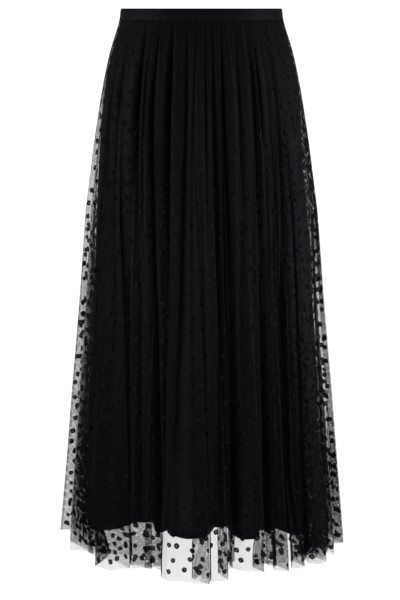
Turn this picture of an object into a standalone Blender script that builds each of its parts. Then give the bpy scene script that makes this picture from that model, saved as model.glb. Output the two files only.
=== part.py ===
"""Gathered maxi skirt: a dotted net over a shorter opaque lining, both sewn to a flat waistband.

Metres, +Z up. The origin is the centre of the waist ring, halfway up the band. The front faces -Y and the
wearer's left hip is at +X. The cloth keeps the hollow form that it has when it is worn.

Every section is an ellipse seen from above. A place on it is given by an angle in degrees: 0 is the centre
front, 90 the side seam at +X, 180 the centre back and 270 (or -90) the side seam at -X. A fold moves the wall
inward from that ellipse by a depth in millimetres, which is stated at the hem and fades out upwards.
"""

import math
from collections import namedtuple

import bmesh
import bpy

MM = 0.001

# Waistband: a flat double strip, slightly wider at its lower edge.
BAND_HEIGHT = 0.020
BAND_WALL = 0.003
BAND_TOP_HALF_WIDTH = 0.1305
BAND_TOP_HALF_DEPTH = 0.0950
BAND_FLARE = 0.0020
BAND_PADDING = 0.0006

# Cloth walls and the gaps between the pieces.
NET_WALL = 0.0011
LINING_WALL = 0.0012
SEAM_GAP = 0.0003
LAYER_CLEARANCE = 0.0034
SWING_UNDER_LINING = 0.0080

# Where both cloths are sewn in, just below the band.
SEWN_EDGE = -BAND_HEIGHT / 2 - SEAM_GAP

# Lengths from the middle of the band to the hems.
NET_HEM = -0.905
LINING_HEM = -0.842
LINING_WAVES_START = -0.100

# Each panel lies flat for this far beside its side seams.
SEAM_FLAT_DEGREES = 1.5

# Columns of faces around one panel.
COLUMNS_PER_GATHER = 3
WIDE_FOLD_DEGREES = 11.5
LINING_STEPS = 3
BAND_COLUMNS = 30
BAND_ROWS = 2

# Sections of the net from the band to the hem: half width (X), depth to the front and to the back (Y), all in
# metres, the depth of the waist gathers in millimetres, and the share of each fold's hem depth.
NetSection = namedtuple("NetSection", "z half_width front back gather fold_share")
NET_SECTIONS = [
    NetSection(SEWN_EDGE, 0.1318, 0.0961, 0.0961, 0.6, 0.00),
    NetSection(-0.030, 0.1405, 0.1045, 0.1050, 2.6, 0.00),
    NetSection(-0.065, 0.1515, 0.1160, 0.1180, 3.2, 0.02),
    NetSection(-0.120, 0.1635, 0.1265, 0.1300, 2.6, 0.06),
    NetSection(-0.200, 0.1772, 0.1360, 0.1395, 1.4, 0.13),
    NetSection(-0.320, 0.1945, 0.1455, 0.1490, 0.5, 0.25),
    NetSection(-0.474, 0.2080, 0.1550, 0.1590, 0.0, 0.42),
    NetSection(-0.630, 0.2232, 0.1640, 0.1680, 0.0, 0.60),
    NetSection(-0.760, 0.2348, 0.1715, 0.1755, 0.0, 0.78),
    NetSection(LINING_HEM, 0.2432, 0.1765, 0.1805, 0.0, 0.90),
    NetSection(NET_HEM, 0.2500, 0.1800, 0.1850, 0.0, 1.00),
]

# Sections of the lining, in the same way.
LiningSection = namedtuple("LiningSection", "z half_width front back")
LINING_SECTIONS = [
    LiningSection(SEWN_EDGE, 0.1299, 0.0942, 0.0942),
    LiningSection(-0.030, 0.1345, 0.0980, 0.0985),
    LiningSection(-0.065, 0.1450, 0.1090, 0.1110),
    LiningSection(-0.120, 0.1570, 0.1185, 0.1215),
    LiningSection(-0.200, 0.1668, 0.1255, 0.1290),
    LiningSection(-0.320, 0.1768, 0.1325, 0.1360),
    LiningSection(-0.474, 0.1850, 0.1400, 0.1440),
    LiningSection(-0.630, 0.1965, 0.1465, 0.1505),
    LiningSection(-0.760, 0.2045, 0.1515, 0.1555),
    LiningSection(LINING_HEM, 0.2100, 0.1550, 0.1590),
]

# Folds of the net's front, one row each, from the right hip round to the left: the angle and depth of the crest
# that starts the fold, and of the trough behind it. The first crest runs into the side seam.
Fold = namedtuple("Fold", "crest crest_depth trough trough_depth")
NET_FRONT_FOLDS = [
    Fold(-88.5, 3, -83, 16),
    Fold(-78, 12, -71, 32),
    Fold(-64, 30, -57, 34),
    Fold(-50, 10, -46, 21),
    Fold(-42, 9, -38, 27),
    Fold(-34, 23, -29, 40),
    Fold(-25, 30, -20, 36),
    Fold(-15, 8, -11, 18),
    Fold(-7, 2, -4, 13),
    Fold(-1, -2, 2, 9),
    Fold(5, 0, 7, 10),
    Fold(10, 6, 13, 38),
    Fold(17, 32, 20, 41),
    Fold(24, 18, 29, 42),
    Fold(34, 12, 39, 27),
    Fold(44, 10, 50, 32),
    Fold(56, 4, 62, 23),
    Fold(68, 7, 75, 19),
    Fold(82, 3, 86, 12),
]

# The back is gathered like the front, in even folds that wander a little.
BACK_FOLDS = 18
BACK_FOLD_WANDER = 1.6
BACK_CREST_DEPTH = 9.0
BACK_TROUGH_DEPTH = 29.0
BACK_DEPTH_WANDER = 8.0

# Waves of the lining, one row each: crest and trough as above, and how far the hem hangs below LINING_HEM there,
# in millimetres.
Wave = namedtuple("Wave", "crest crest_depth crest_drop trough trough_depth trough_drop")
LINING_FRONT_WAVES = [
    Wave(-88.5, 6, 10, -74, 12, 11),
    Wave(-56, 0, 13, -36, 48, 0),
    Wave(-10, 0, 3, 12, 46, 0),
    Wave(20, 0, 4, 34, 14, 1),
    Wave(43, 0, 17, 59, 16, 10),
    Wave(74, 2, 12, 84, 8, 10),
]
LINING_BACK_WAVES = [
    Wave(91.5, 6, 10, 104, 20, 8),
    Wave(120, 2, 12, 137, 34, 4),
    Wave(153, 2, 8, 168, 36, 2),
    Wave(184, 0, 6, 203, 40, 2),
    Wave(219, 2, 10, 237, 30, 6),
    Wave(252, 2, 12, 262, 16, 10),
]
LINING_WAVE_GROWTH = 1.25

# Finishes: black throughout, the net a little greyer than the satin band.
Finish = namedtuple("Finish", "name colour roughness metallic")
NET_FINISH = Finish("dotted_net", (0.020, 0.020, 0.024), 0.85, 0.0)
LINING_FINISH = Finish("lining", (0.007, 0.007, 0.008), 0.55, 0.0)
BAND_FINISH = Finish("waistband", (0.011, 0.011, 0.014), 0.60, 0.0)


def clear_scene():
    """Remove every object that the scene starts with."""
    for thing in list(bpy.data.objects):
        bpy.data.objects.remove(thing, do_unlink=True)


def between(rows, z, column):
    """A table's column at height z, read straight between the rows above and below it."""
    above = rows[0]
    for below in rows[1:]:
        if z >= below.z:
            share = (above.z - z) / (above.z - below.z)
            share = min(max(share, 0.0), 1.0)
            start = getattr(above, column)
            return start + (getattr(below, column) - start) * share
        above = below
    return getattr(rows[-1], column)


def ellipse_point(rows, z, degrees, inward):
    """The point of the section at height z and the given angle, moved inward."""
    angle = math.radians(degrees)
    side = "front" if math.cos(angle) > 0.0 else "back"
    across = between(rows, z, "half_width") - inward
    along = between(rows, z, side) - inward
    return across * math.sin(angle), -along * math.cos(angle)


def back_folds():
    """The folds of the net's back, from the left hip round to the right."""
    pitch = 180.0 / BACK_FOLDS
    rows = []
    for number in range(BACK_FOLDS):
        wander = BACK_FOLD_WANDER * math.sin(2.3 * number)
        crest = 90.0 + pitch * number + wander
        trough = crest + pitch * (0.5 + 0.1 * math.sin(1.7 * number + 1.0))
        crest_depth = BACK_CREST_DEPTH + BACK_DEPTH_WANDER * math.sin(0.9 * number + 2.0)
        trough_depth = BACK_TROUGH_DEPTH + BACK_DEPTH_WANDER * math.sin(1.3 * number + 0.5)
        rows.append(Fold(crest, crest_depth, trough, trough_depth))
    first = rows[0]
    seam = 90.0 + SEAM_FLAT_DEGREES
    rows[0] = Fold(seam, NET_FRONT_FOLDS[0].crest_depth, first.trough, first.trough_depth)
    return rows


def stations(rows, front):
    """Crests and troughs in order as (angle, depth, drop), with the panel's flat edges at both ends."""
    marks = []
    for row in rows:
        marks.append((row.crest, row.crest_depth, getattr(row, "crest_drop", 0.0)))
        marks.append((row.trough, row.trough_depth, getattr(row, "trough_drop", 0.0)))
    start, end = (-90.0, 90.0) if front else (90.0, 270.0)
    edge = marks[0][1:]
    return [(start, *edge)] + marks + [(end - SEAM_FLAT_DEGREES, *edge), (end, *edge)]


def wave_value(marks, degrees, column):
    """A station's depth (1) or drop (2) at any angle, swinging like a cosine from mark to mark."""
    for start, stop in zip(marks, marks[1:]):
        if degrees <= stop[0]:
            share = (degrees - start[0]) / (stop[0] - start[0])
            swing = (1.0 - math.cos(math.pi * min(max(share, 0.0), 1.0))) / 2.0
            return start[column] + (stop[column] - start[column]) * swing
    return marks[-1][column]


def net_columns(marks):
    """The angle of every column of faces round a net panel, and whether it is the crest of a waist gather (0) or
    pulled in beside one (1). A fold holds two gathers, or three where it is wide."""
    columns = [(marks[0][0], 0)]
    crests = marks[1:-1:2]
    troughs = marks[2:-2:2]
    for crest, trough, following in zip(crests, troughs, crests[1:]):
        gathers = 3 if following[0] - crest[0] > WIDE_FOLD_DEGREES else 2
        steps = COLUMNS_PER_GATHER * gathers
        for step in range(steps):
            share = 2.0 * step / steps
            if share < 1.0:
                degrees = crest[0] + (trough[0] - crest[0]) * share
            else:
                degrees = trough[0] + (following[0] - trough[0]) * (share - 1.0)
            columns.append((degrees, 0 if step % COLUMNS_PER_GATHER == 0 else 1))
    columns += [(marks[-2][0], 0), (marks[-1][0], 0)]
    return columns


def lining_inward(marks, degrees, z):
    """How far the lining's waves go in at a place: nothing high up, their full depth at the hem."""
    share = (LINING_WAVES_START - z) / (LINING_WAVES_START - LINING_HEM)
    growth = min(max(share, 0.0), 1.0) ** LINING_WAVE_GROWTH
    return wave_value(marks, degrees, 1) * MM * growth


def room_inside_net(lining_marks, degrees, z):
    """How far the net may go in before it would touch the lining. It may swing in a little further below it."""
    side = "front" if math.cos(math.radians(degrees)) > 0.0 else "back"
    across = between(NET_SECTIONS, z, "half_width") - between(LINING_SECTIONS, z, "half_width")
    along = between(NET_SECTIONS, z, side) - between(LINING_SECTIONS, z, side)
    swing = SWING_UNDER_LINING if z < LINING_HEM else 0.0
    return min(across, along) + lining_inward(lining_marks, degrees, z) - LAYER_CLEARANCE + swing


def new_object(name, mesh):
    """Make an object of the finished bmesh and put it in the scene."""
    data = bpy.data.meshes.new(name)
    mesh.normal_update()
    mesh.to_mesh(data)
    mesh.free()
    data.shade_smooth()
    thing = bpy.data.objects.new(name, data)
    bpy.context.scene.collection.objects.link(thing)
    return thing


def wall_from_grid(name, columns, rows, place):
    """A grid of faces, each of whose points is moved by place(column, row). Its faces look outwards."""
    mesh = bmesh.new()
    bmesh.ops.create_grid(mesh, x_segments=columns, y_segments=rows, size=0.5)
    for vertex in mesh.verts:
        column = round((vertex.co.x + 0.5) * columns)
        row = rows - round((vertex.co.y + 0.5) * rows)
        vertex.co = place(column, row)
    return new_object(name, mesh)


def thicken(thing, thickness):
    """Give the sheet its wall, half to each side of the modelled surface."""
    wall = thing.modifiers.new("wall", "SOLIDIFY")
    wall.thickness = thickness
    wall.offset = 0.0
    wall.use_even_offset = False
    wall.use_rim = True


def seam_shift(front):
    """Half of the gap at the side seams, towards the panel's own side."""
    return -SEAM_GAP / 2 if front else SEAM_GAP / 2


def make_net(name, front):
    """One net panel: close gathers under the band that run out into deeper folds at the hem."""
    marks = stations(NET_FRONT_FOLDS if front else back_folds(), front)
    lining_marks = stations(LINING_FRONT_WAVES if front else LINING_BACK_WAVES, front)
    columns = net_columns(marks)

    def place(column, row):
        section = NET_SECTIONS[row]
        degrees, pulled_in = columns[column]
        fold = wave_value(marks, degrees, 1) * section.fold_share
        inward = (fold + section.gather * pulled_in) * MM
        inward = min(inward, room_inside_net(lining_marks, degrees, section.z))
        x, y = ellipse_point(NET_SECTIONS, section.z, degrees, inward)
        return x, y + seam_shift(front), section.z

    net = wall_from_grid(name, len(columns) - 1, len(NET_SECTIONS) - 1, place)
    thicken(net, NET_WALL)
    return net


def make_lining(name, front):
    """One lining panel: smooth at the hips, with a few broad waves at its hem."""
    marks = stations(LINING_FRONT_WAVES if front else LINING_BACK_WAVES, front)
    angles = [marks[0][0]]
    for start, stop in zip(marks[1:], marks[2:-1]):
        angles += [start[0] + (stop[0] - start[0]) * step / LINING_STEPS for step in range(LINING_STEPS)]
    angles += [marks[-2][0], marks[-1][0]]

    def place(column, row):
        z = LINING_SECTIONS[row].z
        degrees = angles[column]
        x, y = ellipse_point(LINING_SECTIONS, z, degrees, lining_inward(marks, degrees, z))
        drop = wave_value(marks, degrees, 2) * MM * (z / LINING_HEM) ** 3
        return x, y + seam_shift(front), z - drop

    lining = wall_from_grid(name, len(angles) - 1, len(LINING_SECTIONS) - 1, place)
    thicken(lining, LINING_WALL)
    return lining


def make_band(name, front):
    """Half of the waistband, a little padded at mid-height."""
    start = -90.0 if front else 90.0

    def place(column, row):
        down = row / BAND_ROWS
        padding = BAND_PADDING * math.sin(math.pi * down)
        outward = BAND_FLARE * down + padding - BAND_WALL / 2
        angle = math.radians(start + 180.0 * column / BAND_COLUMNS)
        x = (BAND_TOP_HALF_WIDTH + outward) * math.sin(angle)
        y = -(BAND_TOP_HALF_DEPTH + outward) * math.cos(angle)
        return x, y + seam_shift(front), BAND_HEIGHT * (0.5 - down)

    band = wall_from_grid(name, BAND_COLUMNS, BAND_ROWS, place)
    thicken(band, BAND_WALL)
    return band


def paint(thing, finish):
    """Give the object its own material."""
    material = bpy.data.materials.new(f"{finish.name}_{thing.name}")
    material.use_nodes = True
    shader = material.node_tree.nodes["Principled BSDF"]
    shader.inputs["Base Color"].default_value = (*finish.colour, 1.0)
    shader.inputs["Roughness"].default_value = finish.roughness
    shader.inputs["Metallic"].default_value = finish.metallic
    thing.data.materials.append(material)


def main():
    clear_scene()
    for side, front in (("front", True), ("back", False)):
        paint(make_band(f"waistband_{side}", front), BAND_FINISH)
        paint(make_net(f"net_{side}", front), NET_FINISH)
        paint(make_lining(f"lining_{side}", front), LINING_FINISH)


main()
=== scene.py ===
"""Looks of a gathered maxi skirt: a dotted net over a shorter satin lining, both sewn to a folded waistband.

Metres, +Z up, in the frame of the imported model. The front faces -Y and the wearer's left hip is at +X.

A place round the skirt is an angle in degrees: 0 is the centre front, 90 the side seam at +X, 180 the centre
back and 270 or -90 the side seam at -X. Sections are ellipses, and folds move the cloth inward from them.
"""

import math
from collections import namedtuple

import bmesh
import bpy
import numpy as np
from mathutils import Matrix, Vector


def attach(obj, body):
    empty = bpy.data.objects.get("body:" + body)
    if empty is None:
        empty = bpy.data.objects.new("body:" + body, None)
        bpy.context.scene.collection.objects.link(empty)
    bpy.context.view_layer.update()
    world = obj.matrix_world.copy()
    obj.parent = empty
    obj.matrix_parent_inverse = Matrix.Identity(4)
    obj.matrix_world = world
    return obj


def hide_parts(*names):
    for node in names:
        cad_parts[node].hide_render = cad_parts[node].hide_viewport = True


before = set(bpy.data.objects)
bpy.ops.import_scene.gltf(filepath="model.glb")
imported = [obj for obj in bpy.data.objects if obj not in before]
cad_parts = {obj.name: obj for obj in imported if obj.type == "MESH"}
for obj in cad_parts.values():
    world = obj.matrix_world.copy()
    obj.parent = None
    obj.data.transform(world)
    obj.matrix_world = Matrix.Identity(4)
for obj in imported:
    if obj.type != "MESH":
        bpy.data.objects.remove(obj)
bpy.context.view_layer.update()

MM = 0.001


def table(kind, *rows):
    """Rows of one kind, with named columns."""
    return [kind(*row) for row in rows]


# ---- waistband

# One strip, folded over at its top edge, with both cloths sewn in between its two walls.
BAND_HEIGHT = 0.02
BAND_TOP_HALF_WIDTH = 0.1305
BAND_TOP_HALF_DEPTH = 0.095
BAND_FLARE = 0.002
BAND_CLOTH = 0.0005
BAND_COLUMNS = 420
# The strip's way up its outer wall and down its inner one: outward in millimetres, and up as a share of the
# band's height.
BAND_PATH = [
    (0.0, 0.0), (0.4, 0.08), (0.7, 0.2), (0.35, 0.3), (0.25, 0.42), (0.3, 0.58), (0.35, 0.74), (0.2, 0.88),
    (-0.1, 0.96), (-0.8, 1.0), (-1.6, 1.0), (-2.4, 0.97), (-2.9, 0.9), (-3.0, 0.75), (-3.0, 0.5),
    (-3.0, 0.25), (-3.0, 0.0),
]
# Waves that ruffle the elasticated back: how many run round the band, their depth in millimetres, the share
# of it in front, and the angles between which it grows.
RUFFLE_WAVES = (61, 83, 97, 128)
RUFFLE_DEPTH = 0.22
RUFFLE_IN_FRONT = 0.10
RUFFLE_GROWTH = (62.0, 90.0)
# The light on the band at shares of its height, and how much a ruffle changes it for each millimetre.
BAND_SHADE_HEIGHTS = (0.0, 0.05, 0.3, 0.7, 0.95, 1.0)
BAND_SHADES = (0.6, 1.15, 1.2, 0.95, 0.85, 0.55)
RUFFLE_SHADE = 0.5
JOINED_WITHIN = 0.00002

# ---- sections of both cloths

# Both cloths start a little way up inside the band. Hems are mean heights.
SEWN_IN = 0.004
SEWN_EDGE = -BAND_HEIGHT / 2 + SEWN_IN
NET_HEM = -0.905
LINING_HEM = -0.842

# Sections of both cloths from the hem up: half their width, and their depth in front and at the back. Then
# the depth of the net's gathers in millimetres, and the share of its hem folds' depth.
Section = namedtuple(
    "Section", "z net_side net_front net_back lining_side lining_front lining_back gather fold_share"
)
SECTIONS = table(
    Section,
    (NET_HEM, 0.251, 0.18, 0.185, 0.219, 0.158, 0.162, 0, 1),
    (-0.842, 0.245, 0.1765, 0.1805, 0.215, 0.155, 0.159, 0, 0.9),
    (-0.76, 0.2366, 0.1715, 0.1755, 0.2095, 0.1515, 0.1555, 0, 0.78),
    (-0.63, 0.2243, 0.164, 0.168, 0.201, 0.1465, 0.1505, 0.4, 0.6),
    (-0.474, 0.208, 0.155, 0.159, 0.1895, 0.14, 0.144, 0.9, 0.42),
    (-0.32, 0.1945, 0.1455, 0.149, 0.179, 0.1325, 0.136, 1.8, 0.25),
    (-0.2, 0.1772, 0.136, 0.1395, 0.169, 0.1255, 0.129, 2.8, 0.13),
    (-0.12, 0.1635, 0.1265, 0.13, 0.1595, 0.1185, 0.1215, 3.6, 0.06),
    (-0.065, 0.1515, 0.116, 0.118, 0.148, 0.109, 0.111, 4.6, 0.02),
    (-0.03, 0.1405, 0.1045, 0.105, 0.137, 0.098, 0.0985, 4.4, 0),
    (-0.0103, 0.1321, 0.0964, 0.0964, 0.1301, 0.0944, 0.0944, 1.6, 0),
    (0, 0.1316, 0.0958, 0.0958, 0.1296, 0.0938, 0.0938, 0, 0),
)
# The distance over which one section eases into the next, and the steps of that curve.
SECTION_EASE = 0.014
CURVE_STEP = 0.001

# At each side seam the net lies in a flat fin: its width, how flat it is, the heights over which that fades,
# and the step beside it with its extra layers of net.
Fin = namedtuple("Fin", "z width")
FINS = [Fin(-0.905, 0.018), Fin(-0.32, 0.01), Fin(-0.2, 0.007), Fin(-0.12, 0.003), Fin(-0.06, 0)]
FIN_FLATNESS = 0.78
FIN_START = (-0.20, -0.08)
FIN_STEP = 0.005
FIN_STEP_LAYERS = 0.3

# ---- hems, waves and creases

# A point of a hem: its angle, depth inside the ellipse and drop below the mean hem, both in millimetres.
HemPoint = namedtuple("HemPoint", "angle depth drop")

# The net's front hem. Where the angle turns back, the net lies in a flat three-layer fold.
NET_FRONT_HEM = table(
    HemPoint,
    (-90, 4, -19), (-87, 13, -21), (-85, 24, -21), (-81.5, 18, 7), (-74.5, 32, 3), (-64, 53, 1),
    (-79, 19, -11), (-71.5, 37, -8), (-63, 48, -6), (-51.5, 62, -7), (-53.5, 26, 10), (-47.5, 26, 10),
    (-43, 29, 11), (-38, 33, 4), (-33, 37, 2), (-46, 40, -4), (-62.5, 33, -4), (-52.5, 58, -8),
    (-38, 71, -11), (-36, 46, -4), (-31.5, 33, 0), (-27.5, 36, -1), (-22, 37, -1), (-34.5, 37, -6),
    (-18.5, 49, -5), (-26, 33, -5), (-19.5, 34, -3), (-16.5, 24, -4), (-16.5, 13, 1), (-13, 3, 2),
    (-8, 0, 2), (-2.5, -2, 3), (3.5, -3, 4), (-4, 8, -1), (4, 10, 0), (3, 2, 1), (6.5, -1, 1), (10.5, 3, 1),
    (6.5, 21, -5), (14, 34, -9), (12, 45, -12), (16, 51, -14), (12.5, 39, -9), (15, 31, -5), (17.5, 27, -5),
    (22, 23, -3), (26.5, 15, -1), (22.5, 35, -8), (31, 38, -8), (30.5, 34, -4), (34.5, 27, -3),
    (28.5, 50, -8), (35.5, 35, -5), (31, 22, 0), (34, 15, 1), (37.5, 9, 0), (33.5, 36, -7), (44, 28, -5),
    (41, 24, 2), (44, 17, 3), (47, 12, 2), (44, 36, -6), (53.5, 28, -8), (51, 50, -12), (51.5, 30, -2),
    (51, 17, 1), (54, 7, 3), (59, 2, 1), (54.5, 42, -7), (66, 13, -6), (61.5, 50, -13), (72, 19, -8),
    (68.5, 23, 1), (71.5, 8, 5), (73, 28, -6), (75.5, 11, 2), (78.5, 8, 2), (83, 0, 3), (85, 21, 3),
    (90, 1, 3),
)
HEM_STEP = 0.0005
HEM_SMOOTHING = 0.0013

# The net's back hem is laid in folds of one kind. Marks within a fold are shares of its pitch, its wander
# and turn back are in degrees, and its depths in millimetres.
BACK_FOLDS = 15
BACK_FOLDS_END = 262.0
BACK_FOLD_START = 0.25
BACK_FOLD_WANDER = 2.0
BACK_CREST_WIDTH = 0.38
BACK_TROUGH_END = 0.72
BACK_TURN_BACK = 1.6
BACK_CREST_DEPTH = 6.0
BACK_TROUGH_DEPTH = 24.0
BACK_DEPTH_WANDER = 7.0

# The raw edge wavers: the lengths of its waves, and their height as a share of that.
RAGGED_WAVES = (0.075, 0.041, 0.023, 0.013)
RAGGED_SHARE = 0.013

# The lining's hem swings smoothly from point to point.
LINING_FRONT_HEM = table(
    HemPoint,
    (-90, 18, 15), (-86, 18, 16), (-75, 14, 20), (-61.6, 10, 20), (-47.8, 14, 7), (-40, 23, -2),
    (-38.5, 34, -7), (-28.6, 34, -9), (-23.7, 28, 6), (-20.5, 18, 3), (-19, 10, 2), (-15, 4, 4),
    (-12.6, 3, 4), (-8.3, 1, 3), (-2.4, 1, 1), (2.1, 8, -1), (4.9, 16, -2), (9.4, 30, -5), (13.6, 39, -3),
    (15, 40, 0), (15.8, 5, 4), (19.1, 1, 5), (24, 2, 6), (28, 9, 4), (31.5, 30, 5), (38.4, 30, 8),
    (45.2, 10, 10), (50.6, 4, 18), (58.7, 8, 18), (67, 18, 18), (84, 33, 16), (90, 34, 15),
)
LINING_BACK_HEM = table(
    HemPoint,
    (90, 34, 15), (104, 28, 9), (120, 2, 12), (137, 28, 6), (153, 2, 8), (168, 29, 3), (184, 0, 6),
    (203, 31, 4), (219, 2, 10), (237, 24, 8), (252, 2, 12), (262, 14, 14), (270, 18, 15),
)
LINING_CLOTH = 0.0004
LINING_HEM_FOLD = 0.008
# Where the hem's waves start, and how steeply their depth and their drop grow on the way down.
LINING_WAVES_START = -0.1
LINING_WAVE_GROWTH = 1.25
LINING_DROP_GROWTH = 3

# Creases down the lining: their angle and depth at three heights, and half their width, in millimetres. They
# fade out under the band, and are narrower there.
Crease = namedtuple("Crease", "waist middle hem waist_depth middle_depth hem_depth width")
CREASE_HEIGHTS = (-0.80, -0.46, -0.15)
CREASE_SHARPNESS = 1.4
CREASE_START = (-0.13, -0.01)
CREASE_NARROWING = (-0.30, -0.04)
FRONT_CREASES = table(
    Crease,
    (-65, -67, -62, 9, 6, 7, 8), (-55, -46, -47, 8, 4, 5, 8), (-39.5, -31.5, -28.5, 14, 8, 6, 8),
    (-34.5, -28, -24, 8, 0, 0, 4), (-29, -23, -19, 12, 14, 18, 5), (-18.5, -16, -16.5, 14, 12, 9, 6),
    (-20, -18, -18, 3, 7, 7, 34), (-14, -14, -14, 2, 5, 5, 17), (-8.5, -9.5, -12, 9, 12, 6, 6),
    (-8, -7.5, -9, 1, 6, 4, 14), (-4.5, -4, -2, 5, 4, 2, 6), (2, 3, 3, 7, 0, 0, 4),
    (4, 5.5, 5.5, 3, 6, 8, 7), (6.8, 7.8, 7.2, 11, 10, 13, 6), (10, 11, 11, 3, 6, 7, 15),
    (12.6, 15, 15.5, 12, 12, 20, 5), (21.5, 19.5, 19, 5, 6, 1, 6), (31, 29.5, 30.5, 9, 7, 14, 4.5),
    (35, 33, 33, 8, 0, 0, 3.5), (42, 35.5, 35, 3, 3, 6, 6), (48, 43, 45, 5, 18, 24, 8),
    (48, 45, 45, 1, 1, 16, 14), (82, 79, 72, 3, 4, 6, 5),
)
BACK_CREASES = table(
    Crease,
    (118, 121, 126, 10, 11, 8, 7), (134, 137, 139, 8, 9, 6, 9), (152, 150, 151, 12, 9, 6, 7),
    (165, 168, 170, 9, 10, 6, 9), (183, 185, 188, 12, 10, 4, 6.5), (199, 203, 205, 8, 9, 6, 9),
    (217, 219, 221, 12, 11, 8, 6.5), (235, 238, 240, 9, 9, 6, 9), (250, 252, 253, 7, 9, 8, 7),
)

# ---- gathers and layers

# The net panels are cut narrower at the waist than at the hem.
CUT_TOP_SHARE = 0.50

# Narrow gathers at the waist of one panel, the broad ones that they run into, the bounds of their widths,
# crests, depths and reaches, and where they begin beside a seam.
GATHERS = 58
GATHER_FOLDS = 26
GATHER_WIDTHS = (0.35, 1.75)
GATHER_CRESTS = (0.0, 0.45)
GATHER_DEPTHS = (0.35, 1.0)
GATHER_REACHES = (0.5, 1.6)
GATHER_ENDS = 0.015
# Shares of the way down: where the narrow ones end, where the broad ones are whole and where they end.
NARROW_REACH = 0.20
BROAD_START = 0.06
BROAD_REACH = 0.60
# How soon the net turns into its hem's folds on the way down, and how late the hem's drop comes.
FOLD_TURN_GROWTH = 1.6
HEM_DROP_GROWTH = 8
# The lining's soft gathers, with their depth in millimetres.
LINING_GATHERS = 40
LINING_GATHER_DEPTH = 2.4
LINING_GATHER_REACH = 0.09
LINING_GATHER_START = 0.02

# Room between the net and the lining, the share and heights of the creases that the net follows, and how far
# in it may swing below the lining.
LAYER_ROOM = 0.0022
LEAST_ROOM = 0.0005
CREASE_FOLLOW = 0.85
CREASE_FOLLOW_HEIGHTS = (-0.88, -0.74)
SWING_UNDER_LINING = 0.032
SWING_START = 0.002
SWING_EASE = 0.04

# The share of flat net that thread covers, and the most layers that gathers press together. The sides of
# folds cover more, away from the side seams.
NET_COVER = 0.36
MOST_PRESSED = 3.0
SKIRT_HALF_WIDTH = 0.25
SKIRT_HALF_DEPTH = 0.18
LEAST_FACING = 0.35
FACING_DEGREES = (20.0, 32.0)

# Layers of net that one panel bunches up beside the lining at -X (left) and +X (right) and in the fins,
# fading from one to the other. They end so many degrees from the seam at -X and +X.
Bunch = namedtuple("Bunch", "z left right left_fin right_fin")
SIDE_BUNCHES = table(
    Bunch,
    (-0.905, 1, 1, 1, 0.9), (-0.893, 1, 3, 1, 1), (-0.86, 3.2, 6, 1, 1.2), (-0.8, 5.4, 4.4, 1.1, 1.4),
    (-0.74, 6, 3.6, 1.1, 1.3), (-0.665, 5.6, 4.6, 1.1, 0.9), (-0.56, 4.8, 11, 1.1, 0.8),
    (-0.454, 3.8, 18, 1.1, 1.1), (-0.35, 6, 16, 0.8, 2.8), (-0.3, 6, 13, 0.8, 3.6),
    (-0.245, 2, 10, 1, 4.4), (-0.15, 3.2, 9, 1.7, 4.4), (-0.09, 5, 8, 3.6, 4.4), (-0.03, 5, 8, 4.2, 4.4),
)
BUNCH_FADE = 1.5
BUNCH_INSIDE_LINING = 0.004
BUNCH_INSIDE_NET = 0.014
LEAST_BUNCH_WIDTH = 0.002
BUNCH_DEGREES = (36.0, 42.0)
BUNCH_EASE_DEGREES = 8.0
SEAM_ALLOWANCE = 0.004
SEAM_LAYERS = 1.6

# ---- light in the folds

# How far around a crease its walls keep light out, and how much darker and lighter that makes it.
Shade = namedtuple("Shade", "reach sunk crest")
SHADES = [Shade(0.0025, 1.1, 0.3), Shade(0.008, 1.0, 0.2), Shade(0.024, 2.8, 0.25)]
SHADE_TOP = 1.6
# Creases are softer further down: heights, and how strong their shade is there.
SHADE_HEIGHTS = (-0.80, -0.45, -0.20, -0.08)
SHADE_STRENGTHS = (0.34, 0.52, 0.64, 0.9)
# Gathers let less light in: heights, and the share of the light there.
GATHER_SHADE_HEIGHTS = (-0.36, -0.20, -0.12, -0.03)
GATHER_SHADES = (1.0, 0.9, 0.7, 0.38)
# The dark line beside the seam at -X, where bunched net keeps the light out, and its reach to both sides.
DarkMark = namedtuple("DarkMark", "z x reach")
DARK_LINE = table(
    DarkMark,
    (-0.83, -0.196, 0.018), (-0.71, -0.19, 0.015), (-0.61, -0.18, 0.012), (-0.51, -0.1725, 0.009),
    (-0.4, -0.1675, 0.008), (-0.245, -0.154, 0.006), (-0.15, -0.149, 0.003),
)
DARK_LINE_SHADE = 0.85

# Painted sheen on the satin a little above the hem: it lightens the lining's shade on waves up to a depth in
# millimetres, fading to the sides.
PAINTED_SHEEN = 0.3
PAINTED_SHEEN_HEIGHT = -0.8
PAINTED_SHEEN_REACH = 0.055
PAINTED_SHEEN_DEPTH = 14.0
PAINTED_SHEEN_FADE = 4

# ---- flocked dots

DOT_RADIUS = 0.0048
DOT_HEIGHT = 0.0003
DOT_LIFT = 0.0001
DOT_PITCH = 0.024
DOT_JITTER = 0.26
DOT_SIZES = (0.9, 1.12)
# A rosette of radius 1: its scallops, the ring on its top, and the middle of its dimple.
DOT_SIDES = 8
DOT_SCALLOP = 0.13
DOT_TOP_RADIUS = 0.45
DOT_TOP_HEIGHT = 1.0
DOT_DIMPLE_HEIGHT = 0.45
# Down the cut: where dots start, how gathers thin them out and draw them narrow, and where those beside the
# lining start, with the chance to keep one at -X and at +X.
DOTS_START = 0.055
THINNING_PLACES = (0.05, 0.20)
THINNING = (2.6, 0.9)
NARROWING_PLACES = (0.05, 0.25)
NARROWING = (0.6, 1.0)
FREE_DOTS_START = 0.35
FREE_DOTS = (0.75, 0.6)

# ---- faces and random draws

NET_COLUMNS = 860
NET_ROWS = 112
ROW_SPREAD = 0.35
SPREAD_COLUMNS = 9
LINING_COLUMNS = 520
LINING_ROWS = 84

# Seeds of the front panel's draws. The back panel's are one higher.
GATHER_SEED = 11
FOLD_SEED = 13
RAGGED_SEED = 21
LINING_SEED = 31
DOT_SEED = 51
BAND_SEED = 41

# ---- sections and folds


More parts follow.
